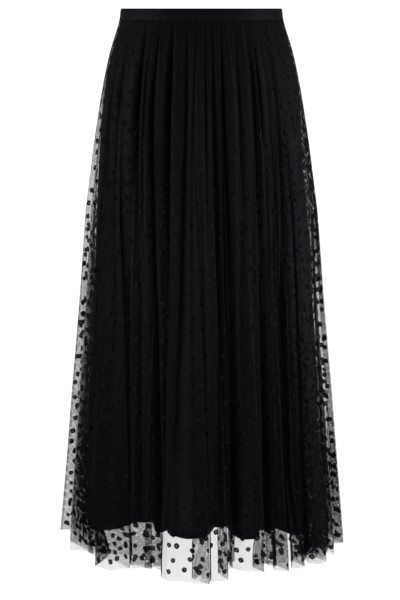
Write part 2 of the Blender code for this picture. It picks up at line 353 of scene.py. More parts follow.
def seed_for(front, first):
    return first if front else first + 1


def blurred(values, sigma, step):
    """Values along a line, eased over a distance sigma."""
    reach = int(math.ceil(3.0 * sigma / step))
    offsets = np.arange(-reach, reach + 1) * step
    weights = np.exp(-0.5 * (offsets / sigma) ** 2)
    padded = np.pad(values, reach, mode="reflect", reflect_type="odd")
    return np.convolve(padded, weights / weights.sum(), mode="valid")


def step_lengths(points, axis=0):
    return np.linalg.norm(np.diff(points, axis=axis), axis=-1)


def straight(rows, z, name):
    """A table's column at heights z, straight from row to row."""
    return np.interp(z, [row.z for row in rows], [getattr(row, name) for row in rows])


def column(z, name):
    """A column of the sections at heights z, as one smooth curve down the skirt."""
    heights = np.arange(NET_HEM, CURVE_STEP, CURVE_STEP)
    return np.interp(z, heights, blurred(straight(SECTIONS, heights, name), SECTION_EASE, CURVE_STEP))


def section_points(cloth, z, degrees, inward):
    """Points of a cloth's sections at heights z, moved inward."""
    angle = np.radians(degrees)
    depth = np.where(np.cos(angle) > 0.0, column(z, f"{cloth}_front"), column(z, f"{cloth}_back"))
    x = (column(z, f"{cloth}_side") - inward) * np.sin(angle)
    y = -(depth - inward) * np.cos(angle)
    return np.stack(np.broadcast_arrays(x, y, z), axis=-1)


def fin_share(x, z):
    """1 inside the flat fin at a side seam, 0 in the open net, and between them on the step."""
    edge = column(z, "net_side") - straight(FINS, z, "width")
    share = np.clip((np.abs(x) - edge + FIN_STEP) / FIN_STEP, 0, 1)
    return share * share * (3.0 - 2.0 * share)


def net_points(z, degrees, inward):
    """Points of the net: its sections, pinched flat at the side seams."""
    points = section_points("net", z, degrees, inward)
    flat = np.interp(z, FIN_START, (FIN_FLATNESS, 0.0))
    points[..., 1] *= 1.0 - flat * fin_share(points[..., 0], z)
    return points


def lining_hem(front):
    return LINING_FRONT_HEM if front else LINING_BACK_HEM


def eased(at, marks, values):
    """Values between marks, swinging from each one to the next like half a cosine wave."""
    place = np.clip(np.searchsorted(marks, at) - 1, 0, len(marks) - 2)
    share = np.clip((at - marks[place]) / (marks[place + 1] - marks[place]), 0, 1)
    return values[place] + (values[place + 1] - values[place]) * (1.0 - np.cos(math.pi * share)) / 2.0


def swing(hem, degrees, name):
    """A hem's depth or drop at the angles."""
    angles = np.array([point.angle for point in hem], dtype=float)
    return eased(degrees, angles, np.array([getattr(point, name) for point in hem], dtype=float))


def crease_depth(front, degrees, z):
    """How deep the lining's creases are at a place, in metres."""
    radius = column(z, "lining_side")
    total = 0.0
    for crease in FRONT_CREASES if front else BACK_CREASES:
        centre = np.interp(z, CREASE_HEIGHTS, (crease.hem, crease.middle, crease.waist))
        depths = (crease.hem_depth, crease.middle_depth, crease.waist_depth)
        depth = np.interp(z, CREASE_HEIGHTS, depths) * np.interp(z, CREASE_START, (1.0, 0.0))
        width = crease.width * MM * np.interp(z, CREASE_NARROWING, (1.0, 0.5))
        aside = np.radians(degrees - centre) * radius / width
        total = total + depth * MM * np.exp(-np.abs(aside) ** CREASE_SHARPNESS)
    return total


def wave_growth(z):
    """The share of the hem waves' depth that the lining has at heights z."""
    share = np.clip((LINING_WAVES_START - z) / (LINING_WAVES_START - LINING_HEM), 0, 1)
    return share**LINING_WAVE_GROWTH


def lining_inward(front, degrees, z):
    """How far the lining goes in at a place: its waves and its creases."""
    waves = swing(lining_hem(front), degrees, "depth") * MM * wave_growth(z)
    return waves + crease_depth(front, degrees, z)


def soft_limit(depth, room):
    """Depths as they are where they are small, and up to the room where they are large."""
    room = np.maximum(room, LEAST_ROOM)
    inward = np.maximum(depth, 0.0)
    return np.where(depth < 0.0, depth, inward / (1.0 + (inward / room) ** 3) ** (1.0 / 3.0))


# ---- meshes


def cloth_grid(name, points, cut):
    """A sheet through rows of points, with its flat cut as UV map. Also each vertex's row and column."""
    rows, columns = points.shape[0] - 1, points.shape[1] - 1
    sheet = bmesh.new()
    bmesh.ops.create_grid(sheet, x_segments=columns, y_segments=rows, size=0.5)
    place = {}
    for vertex in sheet.verts:
        at = (rows - round((vertex.co.y + 0.5) * rows), round((vertex.co.x + 0.5) * columns))
        place[vertex.index] = at
        vertex.co = points[at]
    flat = sheet.loops.layers.uv.new("cut")
    for face in sheet.faces:
        for corner in face.loops:
            corner[flat].uv = cut[place[corner.vert.index]]
    thing = finished(name, sheet)
    order = np.array([place[index] for index in range(len(thing.data.vertices))])
    return thing, tuple(order.T)


def finished(name, mesh):
    """A smooth object of the bmesh, in the scene."""
    data = bpy.data.meshes.new(name)
    mesh.normal_update()
    mesh.to_mesh(data)
    mesh.free()
    data.shade_smooth()
    thing = bpy.data.objects.new(name, data)
    bpy.context.scene.collection.objects.link(thing)
    return thing


def thicken(thing, thickness):
    """Give a sheet its own thickness, inward from the modelled surface."""
    wall = thing.modifiers.new("thickness", "SOLIDIFY")
    wall.thickness = thickness
    wall.offset = -1.0
    wall.use_rim = True


def add_values(data, name, values):
    """Give each point of a mesh a value, for its material."""
    attribute = data.attributes.new(name, "FLOAT", "POINT")
    attribute.data.foreach_set("value", values.reshape(-1).astype(np.float32))


# ---- net

# A net panel's points, their places on the flat cut, its width at the hem and length, and each point's angle
# and way inward.
Panel = namedtuple("Panel", "points cut width length degrees inward")


def back_hem():
    """The net's back hem, from +X on. The sines make each fold a little different."""
    pitch = 180.0 / BACK_FOLDS
    line = [NET_FRONT_HEM[-1], HemPoint(95.0, 16, 0)]
    for number in range(BACK_FOLDS):
        start = 90.0 + pitch * (number + BACK_FOLD_START) + BACK_FOLD_WANDER * math.sin(2.3 * number)
        crest = BACK_CREST_DEPTH + BACK_DEPTH_WANDER * math.sin(0.9 * number + 2.0)
        trough = BACK_TROUGH_DEPTH + BACK_DEPTH_WANDER * math.sin(1.3 * number + 0.5)
        turn = BACK_TURN_BACK * (0.6 + math.sin(1.7 * number + 1.0))
        edge = start + BACK_CREST_WIDTH * pitch
        line += [HemPoint(start, crest, 0), HemPoint(edge, crest + 2, 0), HemPoint(edge - turn, trough, 0)]
        line.append(HemPoint(start + BACK_TROUGH_END * pitch, trough + 3, 0))
    line = [point for point in line if point.angle < BACK_FOLDS_END]
    line += [HemPoint(265.0, 24, -20), NET_FRONT_HEM[0]._replace(angle=270.0)]
    return line


def hem_line(hem, columns):
    """A hem's angle, depth and drop at even steps along the cloth, and its length."""
    line = np.array(hem, dtype=float)

    def length_along(line):
        places = net_points(np.full(len(line), NET_HEM), line[:, 0], line[:, 1] * MM)
        return np.concatenate([[0.0], np.cumsum(step_lengths(places))])

    along = length_along(line)
    fine = np.arange(0.0, along[-1], HEM_STEP)
    rounded = [blurred(np.interp(fine, along, line[:, k]), HEM_SMOOTHING, HEM_STEP) for k in range(3)]
    line = np.stack(rounded, axis=1)
    along = length_along(line)
    even = np.linspace(0.0, along[-1], columns + 1)
    return [np.interp(even, along, line[:, k]) for k in range(3)] + [along[-1]]


def gather_profile(count, columns, seed):
    """How far in a panel's gathers go, from 0 to 1, and how far down each one reaches."""
    random = np.random.default_rng(seed)
    widths = random.uniform(*GATHER_WIDTHS, 2 * count)
    marks = np.concatenate([[0.0], np.cumsum(widths)])
    marks = marks / marks[-1]
    along = np.linspace(0, 1, columns + 1)
    on_crest = np.arange(len(marks)) % 2 == 0
    depths = np.where(on_crest, random.uniform(*GATHER_CRESTS, len(marks)), 1.0)
    depths = depths * random.uniform(*GATHER_DEPTHS, len(marks))
    reach = np.interp(along, marks, random.uniform(*GATHER_REACHES, len(marks)))
    ends = np.clip(np.minimum(along, 1.0 - along) / GATHER_ENDS, 0, 1)
    return eased(along, marks, depths) * ends, reach


def cut_taper(down):
    """The cut's width at a share of the way down, as a share of its hem's."""
    return CUT_TOP_SHARE + (1.0 - CUT_TOP_SHARE) * down


def down_at_row(row):
    """The share of the way down at a share of the net's rows, which lie closer at the waist."""
    return ROW_SPREAD * row**2 + (1.0 - ROW_SPREAD) * row


def row_at_down(down):
    """The share of the net's rows at a share of the way down."""
    steady = 1.0 - ROW_SPREAD
    return (-steady + np.sqrt(steady**2 + 4.0 * ROW_SPREAD * down)) / (2.0 * ROW_SPREAD)


def net_rows():
    """Shares of the net's rows, one under the other."""
    return np.linspace(0, 1, NET_ROWS + 1)[:, None]


def net_room(front, degrees, z):
    """How far in the net may go before it meets the lining, or swings too far under its hem."""
    side = "front" if front else "back"
    apart_aside = column(z, "net_side") - column(z, "lining_side")
    apart_ahead = column(z, f"net_{side}") - column(z, f"lining_{side}")
    apart = apart_ahead + (apart_aside - apart_ahead) * np.sin(np.radians(degrees)) ** 2
    lining_drop = swing(lining_hem(front), degrees, "drop") * MM
    below = np.clip((LINING_HEM - lining_drop - SWING_START - z) / SWING_EASE, 0, 1)
    return apart + lining_inward(front, degrees, z) - LAYER_ROOM + SWING_UNDER_LINING * below


def net_panel(front):
    angle, depth, drop, width = hem_line(NET_FRONT_HEM if front else back_hem(), NET_COLUMNS)
    across = np.linspace(0, 1, NET_COLUMNS + 1)
    z = SEWN_EDGE + (NET_HEM - SEWN_EDGE) * down_at_row(net_rows())
    down = (SEWN_EDGE - z) / (SEWN_EDGE - NET_HEM)
    degrees = (-90.0 if front else 90.0) + 180.0 * across
    degrees = degrees + (angle - degrees) * (1.0 - (1.0 - down) ** FOLD_TURN_GROWTH)

    narrow, narrow_reach = gather_profile(GATHERS, NET_COLUMNS, seed_for(front, GATHER_SEED))
    broad, broad_reach = gather_profile(GATHER_FOLDS, NET_COLUMNS, seed_for(front, FOLD_SEED))
    narrow_share = np.clip(1.0 - down / (NARROW_REACH * narrow_reach), 0, 1)
    broad_share = np.clip(down / BROAD_START, 0, 1)
    broad_share = broad_share * np.clip(1.0 - down / (BROAD_REACH * broad_reach), 0, 1)
    gathered = narrow * narrow_share + broad * broad_share
    gather = column(z, "gather") * gathered * MM
    fold = depth * column(z, "fold_share") * MM
    follow = CREASE_FOLLOW * crease_depth(front, degrees, z) * np.interp(z, CREASE_FOLLOW_HEIGHTS, (0.0, 1.0))
    inward = soft_limit(fold + gather + follow, net_room(front, degrees, z))

    random = np.random.default_rng(seed_for(front, RAGGED_SEED))
    ragged = np.zeros_like(angle)
    for wavelength in RAGGED_WAVES:
        phase = random.uniform(0.0, math.tau)
        turns = math.tau * across * width / wavelength + phase
        ragged += wavelength * RAGGED_SHARE * np.sin(turns)
    points = net_points(z, degrees, inward)
    points[..., 2] = z - (drop * MM + ragged) * down**HEM_DROP_GROWTH
    length = SEWN_EDGE - NET_HEM
    cut = np.stack(np.broadcast_arrays((across - 0.5) * width * cut_taper(down), -down * length), axis=-1)
    return Panel(points, cut, width, length, degrees, inward)


def fold_shade(points, inward):
    """How much light reaches the cloth: 1 in the open, less in creases and gathers, more on crests."""
    shade = np.empty_like(inward)
    steps = step_lengths(points, axis=1).mean(axis=1)
    for row, step in enumerate(steps):
        sunk = 0.0
        for kind in SHADES:
            apart = (inward[row] - blurred(inward[row], kind.reach, step)) / kind.reach
            sunk = sunk + np.where(apart > 0.0, apart * kind.sunk, apart * kind.crest)
        strength = np.interp(points[row, :, 2], SHADE_HEIGHTS, SHADE_STRENGTHS)
        shade[row] = np.exp(-sunk * strength)
    x, z = points[..., 0], points[..., 2]
    shade = shade * np.interp(z, GATHER_SHADE_HEIGHTS, GATHER_SHADES)
    aside = (x - straight(DARK_LINE, z, "x")) / straight(DARK_LINE, z, "reach")
    shade = shade * (1.0 - DARK_LINE_SHADE * np.exp(-(aside**2)))
    return np.clip(shade, 0.0, SHADE_TOP)


def surface_normals(points):
    across = np.gradient(points, axis=1)
    down = np.gradient(points, axis=0)
    normal = np.cross(down, across)
    return normal / np.maximum(np.linalg.norm(normal, axis=-1, keepdims=True), 1e-12)


def side_layers(x, z):
    """Layers of net bunched up at the sides: between the lining and the fin, and in the fin."""
    at_left = x < 0.0
    seam_depth = np.where(at_left, LINING_FRONT_HEM[0].depth, LINING_FRONT_HEM[-1].depth)
    lining_edge = column(z, "lining_side") - seam_depth * MM * wave_growth(z)
    inner_edge = lining_edge - BUNCH_INSIDE_LINING
    outer_edge = column(z, "net_side") - BUNCH_INSIDE_NET
    width = np.maximum(outer_edge - inner_edge, LEAST_BUNCH_WIDTH)
    outward = np.clip((np.abs(x) - inner_edge) / width, 0, 1)
    left, right, left_fin, right_fin = [straight(SIDE_BUNCHES, z, name) for name in Bunch._fields[1:]]
    inner, in_fin = np.where(at_left, left, right), np.where(at_left, left_fin, right_fin)
    return in_fin + (inner - in_fin) * (1.0 - outward) ** BUNCH_FADE, in_fin


def thread_cover(panel):
    """The share that thread covers: more in gathers, on the sides of folds and in the side bunches."""
    x, z = panel.points[..., 0], panel.points[..., 2]
    across = np.gradient(panel.points, axis=1)
    flat_step = panel.width * cut_taper(down_at_row(net_rows())) / NET_COLUMNS
    pressed = flat_step / np.maximum(np.linalg.norm(across, axis=-1), 1e-9)
    step = fin_share(x, z)
    layers = np.clip(pressed, 1.0, MOST_PRESSED) * (1.0 + FIN_STEP_LAYERS * 4.0 * step * (1.0 - step))

    angle = np.radians(panel.degrees)
    outward = [np.sin(angle) / SKIRT_HALF_WIDTH, -np.cos(angle) / SKIRT_HALF_DEPTH, np.zeros_like(angle)]
    outward = np.stack(outward, axis=-1)
    outward /= np.linalg.norm(outward, axis=-1, keepdims=True)
    facing = np.abs((surface_normals(panel.points) * outward).sum(axis=-1))
    from_seam = 90.0 - np.abs((panel.degrees + 90.0) % 180.0 - 90.0)
    away = np.interp(from_seam, FACING_DEGREES, (0.0, 1.0))
    layers = layers * (1.0 + away * (1.0 / np.maximum(facing, LEAST_FACING) - 1.0))

    bunched, in_fin = side_layers(x, z)
    reach = np.where(x < 0.0, *BUNCH_DEGREES)
    beside = np.clip((reach - from_seam) / BUNCH_EASE_DEGREES, 0, 1) * (1.0 - step)
    layers = layers + beside * (bunched - layers)
    layers = layers + step * (in_fin - layers)
    columns = np.arange(NET_COLUMNS + 1)
    from_edge = np.minimum(columns, NET_COLUMNS - columns) * flat_step
    layers = layers * np.where(from_edge < SEAM_ALLOWANCE, SEAM_LAYERS, 1.0)
    return 1.0 - (1.0 - NET_COVER) ** layers


def make_net(name, front):
    panel = net_panel(front)
    net, order = cloth_grid(name, panel.points, panel.cut)
    shade = fold_shade(panel.points, panel.inward)
    add_values(net.data, "shade", shade[order])
    add_values(net.data, "cover", thread_cover(panel)[order])
    return net, panel, shade


# ---- dots


def dot_centres(panel, seed):
    """Rows of dots that wander, thinned out in gathers: place across and down, turn, size and luck."""
    random = np.random.default_rng(seed)
    row_pitch = DOT_PITCH * math.sqrt(3.0) / 2.0
    centres = []
    for row in range(int(panel.length / row_pitch) + 1):
        shift = 0.5 * (row % 2)
        for place in range(int(panel.width / DOT_PITCH) + 1):
            across = (place + shift + random.uniform(-DOT_JITTER, DOT_JITTER)) * DOT_PITCH
            down = (row + 0.5 + random.uniform(-DOT_JITTER, DOT_JITTER)) * row_pitch
            turn = random.uniform(0.0, math.tau)
            size = random.uniform(*DOT_SIZES)
            luck = random.uniform(0.0, 1.0)
            edge = panel.width * (1.0 - cut_taper(down / panel.length)) / 2.0 + DOT_RADIUS
            inside = edge < across < panel.width - edge
            if inside and DOTS_START < down < panel.length - 0.5 * DOT_RADIUS:
                centres.append((across, down, turn, size, luck))
    centres = np.array(centres)
    place, row = grid_place(centres[:, 0], centres[:, 1], panel)
    shown = np.clip(blend_between(local_spread(panel), place, row), 0, 1)
    thinned = shown ** np.interp(centres[:, 1], THINNING_PLACES, THINNING)
    at = blend_between(panel.points, place, row)
    free = np.abs(at[:, 0]) > column(at[:, 2], "lining_side") - DOT_RADIUS
    free = free & (centres[:, 1] > FREE_DOTS_START)
    free = free & (centres[:, 4] < np.where(at[:, 0] < 0.0, *FREE_DOTS))
    return centres[(centres[:, 4] < thinned) | free]


def local_spread(panel):
    """Metres of modelled net for each metre of the cut, across the panel."""
    across = np.gradient(panel.points, axis=1)
    flat_width = panel.width * cut_taper(down_at_row(net_rows()))
    spread = np.linalg.norm(across, axis=-1) * NET_COLUMNS / flat_width
    kernel = np.ones(SPREAD_COLUMNS) / SPREAD_COLUMNS
    padded = np.pad(spread, ((0, 0), (SPREAD_COLUMNS // 2, SPREAD_COLUMNS // 2)), mode="edge")
    return np.array([np.convolve(line, kernel, "valid") for line in padded])


def grid_place(across, down, panel):
    """The panel's column and row, with their fractions, at places on the cut."""
    share = np.clip(down / panel.length, 0, 1)
    across = panel.width / 2.0 + (across - panel.width / 2.0) / cut_taper(share)
    return np.clip(across / panel.width, 0, 1) * NET_COLUMNS, row_at_down(share) * NET_ROWS


def blend_between(values, place, row):
    """The grid's values at columns and rows with fractions."""
    left = np.clip(np.floor(place).astype(int), 0, values.shape[1] - 2)
    upper = np.clip(np.floor(row).astype(int), 0, values.shape[0] - 2)
    right_share, lower_share = place - left, row - upper
    if values.ndim == 3:
        right_share, lower_share = right_share[..., None], lower_share[..., None]
    top = values[upper, left] * (1 - right_share) + values[upper, left + 1] * right_share
    bottom = values[upper + 1, left] * (1 - right_share) + values[upper + 1, left + 1] * right_share
    return top * (1 - lower_share) + bottom * lower_share


def moved_along(points, place, row, distance):
    """The column at a distance along the cloth from a column, on the same row."""
    along = np.cumsum(step_lengths(points, axis=1), axis=1)
    along = np.concatenate([np.zeros((len(along), 1)), along], axis=1)
    columns = np.arange(along.shape[1])
    line = np.clip(np.round(row).astype(int), 0, len(along) - 1)
    moved = np.empty_like(place)
    for number in np.unique(line):
        here = line == number
        start = np.interp(place[here], columns, along[number])
        moved[here] = np.interp(start + distance[here], along[number], columns)
    return moved


def make_rosette():
    """One dot: a low pad of flock with a scalloped edge and a dimple in the middle."""
    pad = bmesh.new()
    bmesh.ops.create_circle(pad, cap_ends=True, cap_tris=True, segments=DOT_SIDES, radius=DOT_TOP_RADIUS)
    for vertex in pad.verts:
        in_middle = vertex.co.length < DOT_TOP_RADIUS / 2.0
        vertex.co.z = DOT_DIMPLE_HEIGHT if in_middle else DOT_TOP_HEIGHT
    rim = [edge for edge in pad.edges if edge.is_boundary]
    grown = bmesh.ops.extrude_edge_only(pad, edges=rim)["geom"]
    for vertex in [part for part in grown if isinstance(part, bmesh.types.BMVert)]:
        sideways = math.atan2(vertex.co.y, vertex.co.x)
        reach = 1.0 - DOT_SCALLOP * (round(sideways / math.tau * DOT_SIDES) % 2)
        vertex.co = (reach * math.cos(sideways), reach * math.sin(sideways), 0.0)
    loop = [edge for edge in pad.edges if edge.is_boundary]
    bmesh.ops.holes_fill(pad, edges=loop, sides=0)
    bmesh.ops.triangulate(pad, faces=[face for face in pad.faces if len(face.verts) > 4])
    bmesh.ops.recalc_face_normals(pad, faces=pad.faces)
    flat = pad.loops.layers.uv.new("dot")
    for face in pad.faces:
        for corner in face.loops:
            corner[flat].uv = corner.vert.co.xy
    return pad


def repeated(pad, count, name):
    """Make an object's mesh hold so many copies of itself."""
    copies = pad.modifiers.new("copies", "ARRAY")
    copies.count = count
    copies.use_relative_offset = False
    copies.use_constant_offset = False
    bpy.context.view_layer.update()
    evaluated = pad.evaluated_get(bpy.context.evaluated_depsgraph_get())
    data = bpy.data.meshes.new_from_object(evaluated)
    data.name = name
    pad.modifiers.clear()
    pad.data = data


def make_dots(name, panel, shade, seed):
    """All dots of a panel as one mesh, each bent to the net that it lies on."""
    centres = dot_centres(panel, seed)
    dots = finished(name, make_rosette())
    shape = np.array([vertex.co for vertex in dots.data.vertices])[None, :, :]
    repeated(dots, len(centres), name)

    across, down, turn = centres[:, 0:1], centres[:, 1:2], centres[:, 2:3]
    radius = DOT_RADIUS * centres[:, 3:4]
    narrow = np.interp(down, NARROWING_PLACES, NARROWING)
    sideways = (shape[..., 0] * np.cos(turn) - shape[..., 1] * np.sin(turn)) * radius * narrow
    downward = (shape[..., 0] * np.sin(turn) + shape[..., 1] * np.cos(turn)) * radius
    middle_column, middle_row = grid_place(across, down, panel)
    _, row = grid_place(across, down + downward, panel)
    place = moved_along(panel.points, np.broadcast_to(middle_column, row.shape), row, sideways)
    upward = blend_between(surface_normals(panel.points), middle_column, middle_row)
    where = blend_between(panel.points, place, row) + upward * (shape[..., 2:3] * DOT_HEIGHT + DOT_LIFT)
    dots.data.vertices.foreach_set("co", where.reshape(-1).astype(np.float32))
    add_values(dots.data, "shade", blend_between(shade, place, row))
    dots.data.update()
    return dots


# ---- lining and band


def make_lining(name, front):
    """One panel of the lining, with soft gathers, creases and a waved hem."""
    across = np.linspace(0, 1, LINING_COLUMNS + 1)
    down = np.linspace(0, 1, LINING_ROWS + 1)[:, None]
    degrees = (-90.0 if front else 90.0) + 180.0 * across
    z = SEWN_EDGE + (LINING_HEM - SEWN_EDGE) * down
    gathers, _ = gather_profile(LINING_GATHERS, LINING_COLUMNS, seed_for(front, LINING_SEED))
    growth = np.clip((SEWN_EDGE - z) / LINING_GATHER_START, 0, 1) * np.exp(z / LINING_GATHER_REACH)
    inward = lining_inward(front, degrees, z) + gathers * growth * LINING_GATHER_DEPTH * MM
    points = section_points("lining", z, degrees, inward)
    drop = swing(lining_hem(front), degrees, "drop") * MM * (z / LINING_HEM) ** LINING_DROP_GROWTH
    points[..., 2] = z - drop
    width = float(step_lengths(points[-1]).sum())
    length = SEWN_EDGE - LINING_HEM + LINING_HEM_FOLD
    cut = np.stack(np.broadcast_arrays(across * width, -down * length), axis=-1)
    lining, order = cloth_grid(name, points, cut)
    # Painted sheen: the lining's shade is made lighter on the crests of the hem's waves a little above the
    # hem, most in front.
    crest = np.clip(1.0 - swing(lining_hem(front), degrees, "depth") / PAINTED_SHEEN_DEPTH, 0, 1)
    painted_sheen = PAINTED_SHEEN * crest * np.exp(-(((z - PAINTED_SHEEN_HEIGHT) / PAINTED_SHEEN_REACH) ** 2))
    painted_sheen = painted_sheen * np.cos(np.radians(degrees)) ** PAINTED_SHEEN_FADE
    shade = np.clip(fold_shade(points, inward) * (1.0 + painted_sheen), 0.0, SHADE_TOP)
    add_values(lining.data, "shade", shade[order])
    thicken(lining, LINING_CLOTH)
    return lining, width, length


def make_band(name):
    """The waistband: one strip folded over its top edge, smooth in front and ruffled at the back."""
    path = np.array(BAND_PATH)
    across = np.linspace(0, 1, BAND_COLUMNS + 1)
    degrees = -180.0 + 360.0 * across
    up = path[:, 1:2]
    random = np.random.default_rng(BAND_SEED)
    ruffle = np.zeros_like(degrees)
    for count in RUFFLE_WAVES:
        ruffle = ruffle + np.sin(np.radians(degrees * count) + random.uniform(0.0, 6.28))
    drawn = np.interp(np.abs(degrees), RUFFLE_GROWTH, (RUFFLE_IN_FRONT, 1.0))
    wrinkle = ruffle * RUFFLE_DEPTH * MM * drawn * np.sin(math.pi * np.clip(up * 0.8 + 0.1, 0, 1))
    outward = path[:, 0:1] * MM + BAND_FLARE * (1.0 - up) + wrinkle
    angle = np.radians(degrees)
    x = (BAND_TOP_HALF_WIDTH + outward) * np.sin(angle)
    y = -(BAND_TOP_HALF_DEPTH + outward) * np.cos(angle)
    z = BAND_HEIGHT * (up - 0.5)
    points = np.stack(np.broadcast_arrays(x, y, z), axis=-1)[::-1]
    width = float(step_lengths(points[-1]).sum())
    along = np.concatenate([[0.0], np.cumsum(step_lengths(points[:, 0]))])[:, None]
    cut = np.stack(np.broadcast_arrays(across * width, -along), axis=-1)
    band, order = cloth_grid(name, points, cut)
    lit = np.interp(up[::-1], BAND_SHADE_HEIGHTS, BAND_SHADES) * (1.0 + RUFFLE_SHADE * wrinkle[::-1] / MM)
    add_values(band.data, "shade", np.clip(lit, 0.0, SHADE_TOP)[order])
    joined = bmesh.new()
    joined.from_mesh(band.data)
    bmesh.ops.remove_doubles(joined, verts=joined.verts, dist=JOINED_WITHIN)
    joined.to_mesh(band.data)
    joined.free()
    thicken(band, BAND_CLOTH)
    return band, width, float(along[-1, 0])


# ---- materials

UNSTRETCHED = (1.0, 1.0, 1.0)


def linear(hex_colour):
    """An sRGB hex colour as linear RGBA."""
    parts = [int(hex_colour[k : k + 2], 16) / 255.0 for k in (1, 3, 5)]
    return (*[c / 12.92 if c <= 0.04045 else ((c + 0.055) / 1.055) ** 2.4 for c in parts], 1.0)


def new_material(name):
    """A material, and its empty node tree."""
    material = bpy.data.materials.new(name)
    material.use_nodes = True
    material.node_tree.nodes.clear()
    return material, material.node_tree


def node(tree, kind, settings=None, **links):
    """Add a node. Settings are its properties, and links its inputs, by name or number."""
    made = tree.nodes.new(kind)
    for key, value in (settings or {}).items():
        setattr(made, key, value)
    for key, value in links.items():
        numbered = key[0] == "i" and key[1:].isdigit()
        socket = made.inputs[int(key[1:]) if numbered else key.replace("_", " ")]
        if isinstance(value, bpy.types.NodeSocket):
            tree.links.new(value, socket)
        else:
            socket.default_value = value
    return made


def result(tree, operation, *values):
    """What a sum of values or sockets gives."""
    links = {f"i{number}": value for number, value in enumerate(values)}
    return node(tree, "ShaderNodeMath", {"operation": operation}, **links).outputs[0]


def cut_place(tree, layer="cut"):
    return node(tree, "ShaderNodeUVMap", {"uv_map": layer}).outputs[0]


def room_place(tree):
    return node(tree, "ShaderNodeTexCoord").outputs["Object"]


def noise(tree, place, stretch, scale, detail):
    """Uneven values from 0 to 1 over a place, stretched first."""
    drawn = node(tree, "ShaderNodeMapping", Vector=place, Scale=stretch)
    made = node(tree, "ShaderNodeTexNoise", Vector=drawn.outputs[0], Scale=scale, Detail=detail)
    return made.outputs["Fac"]


def shaded_colour(tree, colours, uneven=None):
    """A colour over the cloth's shade, from deep in a crease to a crest, changed by an uneven share."""
    shade = node(tree, "ShaderNodeAttribute", {"attribute_name": "shade"})
    share = result(tree, "MULTIPLY", shade.outputs["Fac"], 1.0 / SHADE_TOP)
    if uneven is not None:
        share = result(tree, "MULTIPLY_ADD", share, uneven, share)
    ramp = node(tree, "ShaderNodeValToRGB", Fac=share)
    marks = ramp.color_ramp.elements
    for _ in colours[2:]:
        marks.new(0.5)
    for mark, place, colour in zip(marks, (0.0, 0.5 / SHADE_TOP, 1.0 / SHADE_TOP, 1.0), colours):
        mark.position = place
        mark.color = linear(colour)
    return ramp.outputs["Color"]


def toned(tree, colour, tone):
    """A colour made lighter and darker by a tone."""
    settings = {"data_type": "RGBA", "blend_type": "MULTIPLY"}
    return node(tree, "ShaderNodeMix", settings, i0=1.0, i6=colour, i7=tone).outputs[2]


def bumped(tree, height, strength, distance):
    return node(tree, "ShaderNodeBump", Height=height, Strength=strength, Distance=distance).outputs[0]


def surfaced(material, **links):
    """Close a material with its one surface."""
    shader = node(material.node_tree, "ShaderNodeBsdfPrincipled", **links)
    node(material.node_tree, "ShaderNodeOutputMaterial", Surface=shader.outputs[0])
    return material


# The net has thread where the sum of three crossing waves is under a level: its pitch, the thread's soft
# edge, bounds around the levels, and the shares of cover to work a level out for.
NET_PITCH = 0.002
THREAD_EDGE = 0.25
LOWEST_LEVEL = -1.6
HIGHEST_LEVEL = 3.0
COVER_SHARES = (0.10, 0.24, 0.40, 0.60, 0.80, 0.95)
# Bunched net is cloudy: the clouds' stretch, the covers between which they set in, and how much they change
# the cover and the colour.
CLOUD_STRETCH = (330.0, 330.0, 130.0)
CLOUD_START = 0.45
CLOUD_END = 0.85
CLOUDY_COVER = 3.0
CLOUDY_COLOUR = 1.6


def mesh_levels(shares):
    """The levels at which thread covers these shares of the mesh."""
    turns = np.linspace(0.0, math.tau, 300, endpoint=False)
    first, second = np.meshgrid(turns, turns)
    waves = np.cos(first) + np.cos(second) + np.cos(first + second)
    levels = np.linspace(LOWEST_LEVEL, HIGHEST_LEVEL, 93)
    covers = [np.clip((level - waves) / (2.0 * THREAD_EDGE) + 0.5, 0, 1).mean() for level in levels]
    return np.interp(shares, covers, levels)


def tulle_material():
    """Nylon bobbinet tulle: hexagonal meshes of matt black thread, drawn twice their real width to show."""
    material, tree = new_material("nylon_bobbinet_tulle")
    flat = cut_place(tree)
    number = 4.0 * math.pi / math.sqrt(3.0) / NET_PITCH
    waves = 0.0
    for turn in (0.0, 60.0, 120.0):
        direction = (number * math.cos(math.radians(turn)), number * math.sin(math.radians(turn)), 0.0)
        along = node(tree, "ShaderNodeVectorMath", {"operation": "DOT_PRODUCT"}, i0=flat, i1=direction)
        waves = result(tree, "ADD", waves, result(tree, "COSINE", along.outputs["Value"]))
    cover = node(tree, "ShaderNodeAttribute", {"attribute_name": "cover"}).outputs["Fac"]
    uneven = result(tree, "SUBTRACT", noise(tree, room_place(tree), CLOUD_STRETCH, 1.0, 2.0), 0.5)
    bunched = node(tree, "ShaderNodeMapRange", Value=cover, From_Min=CLOUD_START, From_Max=CLOUD_END)
    uneven = result(tree, "MULTIPLY", uneven, bunched.outputs[0])
    share = result(tree, "MULTIPLY_ADD", uneven, CLOUDY_COVER, cover)
    level = node(tree, "ShaderNodeFloatCurve", Value=share)
    curve = level.mapping.curves[0]
    for known, reached in zip(COVER_SHARES, mesh_levels(COVER_SHARES)):
        curve.points.new(known, (reached - LOWEST_LEVEL) / (HIGHEST_LEVEL - LOWEST_LEVEL))
    curve.points[0].location = (0.0, 0.0)
    curve.points[-1].location = (1.0, 1.0)
    level.mapping.update()
    level = level.outputs[0]
    height = node(tree, "ShaderNodeMapRange", Value=level, To_Min=LOWEST_LEVEL, To_Max=HIGHEST_LEVEL)
    below = result(tree, "SUBTRACT", height.outputs[0], waves)
    thread = node(tree, "ShaderNodeMapRange", Value=below, From_Min=-THREAD_EDGE, From_Max=THREAD_EDGE)
    streaky = result(tree, "MULTIPLY", uneven, CLOUDY_COLOUR)
    colour = shaded_colour(tree, ("#050506", "#070708", "#0a0a0c", "#121215"), streaky)
    look = {"Roughness": 0.85, "IOR": 1.53, "Specular_IOR_Level": 0.0}
    return surfaced(material, Base_Color=colour, Alpha=thread.outputs[0], **look)


